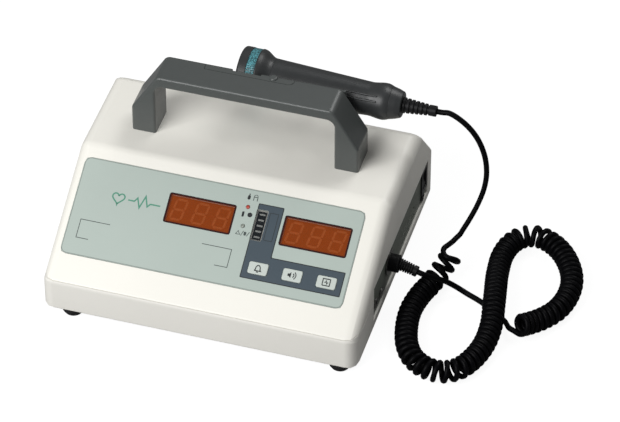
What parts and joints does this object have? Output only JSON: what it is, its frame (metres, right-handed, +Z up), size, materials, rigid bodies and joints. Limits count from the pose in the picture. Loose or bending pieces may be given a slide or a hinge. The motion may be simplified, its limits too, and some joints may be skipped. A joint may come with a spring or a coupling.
{
  "type": "fetal doppler monitor",
  "caption": "Table-top fetal heart-rate monitor with a sloping front, digit displays, keys, a carrying handle and a hand probe on a curly cord held behind the handle.",
  "frame": {"origin": "on the table, under the middle of the case", "axes": "+Z up, the sloping front faces -Y, +X to the viewer's right"},
  "size_m": [0.3986, 0.218, 0.1511],
  "materials": {
    "shell_white": "fine satin texture",
    "shell_grey": "fine satin texture",
    "panel": "printed film, satin",
    "window": "dark red, clear, polished",
    "display": "dark face with pale segments",
    "board": "green lacquer",
    "key": "satin",
    "black_plastic": "fine texture",
    "lamp_red": "tinted, clear",
    "lamp_grey": "clear, unlit",
    "screw_steel": "zinc plated",
    "battery": "shrink sleeve",
    "speaker": "pressed paper cone on a black frame",
    "foot_rubber": "black rubber",
    "handle": "fine satin texture",
    "bay": "fine satin texture",
    "socket_metal": "nickel plated",
    "probe": "fine satin texture",
    "band": "satin, teal",
    "transducer": "silvered ceramic",
    "relief_rubber": "moulded black rubber",
    "cord": "black, slightly glossy sheath"
  },
  "bodies": {
    "case": {"upper_case": "shell_white", "lower_case": "shell_grey", "front_overlay": "panel", "display_window_left": "window", "display_window_right": "window", "level_bar_window": "window", "digit_module_left": "display", "digit_module_right": "display", "level_bar_module": "display", "display_board": "board", "main_board": "board", "tact_switch_left": "black_plastic", "tact_switch_middle": "black_plastic", "tact_switch_right": "black_plastic", "power_switch_frame": "black_plastic", "dc_jack": "black_plastic", "led_red": "lamp_red", "led_grey": "lamp_grey", "display_board_screw_left": "screw_steel", "display_board_screw_right": "screw_steel", "case_screw_front_left": "screw_steel", "case_screw_front_right": "screw_steel", "case_screw_rear_left": "screw_steel", "case_screw_rear_right": "screw_steel", "handle_screw_left_front": "screw_steel", "handle_screw_left_back": "screw_steel", "handle_screw_right_front": "screw_steel", "handle_screw_right_back": "screw_steel", "cradle_screw_left": "screw_steel", "cradle_screw_right": "screw_steel", "battery_pack": "battery", "speaker": "speaker", "foot_front_left": "foot_rubber", "foot_front_right": "foot_rubber", "foot_rear_left": "foot_rubber", "foot_rear_right": "foot_rubber", "handle": "handle", "probe_cradle": "handle", "connector_plate": "bay", "probe_socket": "socket_metal", "earphone_jack": "socket_metal", "recorder_jack": "socket_metal", "plug_strain_relief": "relief_rubber", "plug_body": "relief_rubber", "probe_lead": "cord", "curly_cord": "cord", "plug_lead": "cord"},
    "key_left": {"key_left": "key"},
    "key_middle": {"key_middle": "key"},
    "key_right": {"key_right": "key"},
    "power_rocker": {"power_switch_rocker": "black_plastic"},
    "probe": {"probe_face": "probe", "probe_band": "band", "probe_head_shell": "probe", "probe_grip": "probe", "probe_tail_cap": "probe", "transducer_disc": "transducer", "probe_board": "board", "probe_strain_relief": "relief_rubber"}
  },
  "joints": [
    {"name": "key_left_press", "type": "slide", "parent": "case", "child": "key_left", "axis": [0, 0.5051, -0.863], "range_m": [0, 0.0005], "stiffness_N_per_m": 400, "springref_m": -0.002},
    {"name": "key_middle_press", "type": "slide", "parent": "case", "child": "key_middle", "axis": [0, 0.5051, -0.863], "range_m": [0, 0.0005], "stiffness_N_per_m": 400, "springref_m": -0.002},
    {"name": "key_right_press", "type": "slide", "parent": "case", "child": "key_right", "axis": [0, 0.5051, -0.863], "range_m": [0, 0.0005], "stiffness_N_per_m": 400, "springref_m": -0.002},
    {"name": "power_rocker_turn", "type": "hinge", "parent": "case", "child": "power_rocker", "pos_m": [0.122, 0.088, 0.0343], "axis": [0, 1, 0], "range_deg": [0, 16]},
    {"name": "probe_lift", "type": "slide", "parent": "case", "child": "probe", "axis": [0, 0, 1], "range_m": [0, 0.06], "deforming": ["probe_lead"]}
  ]
}
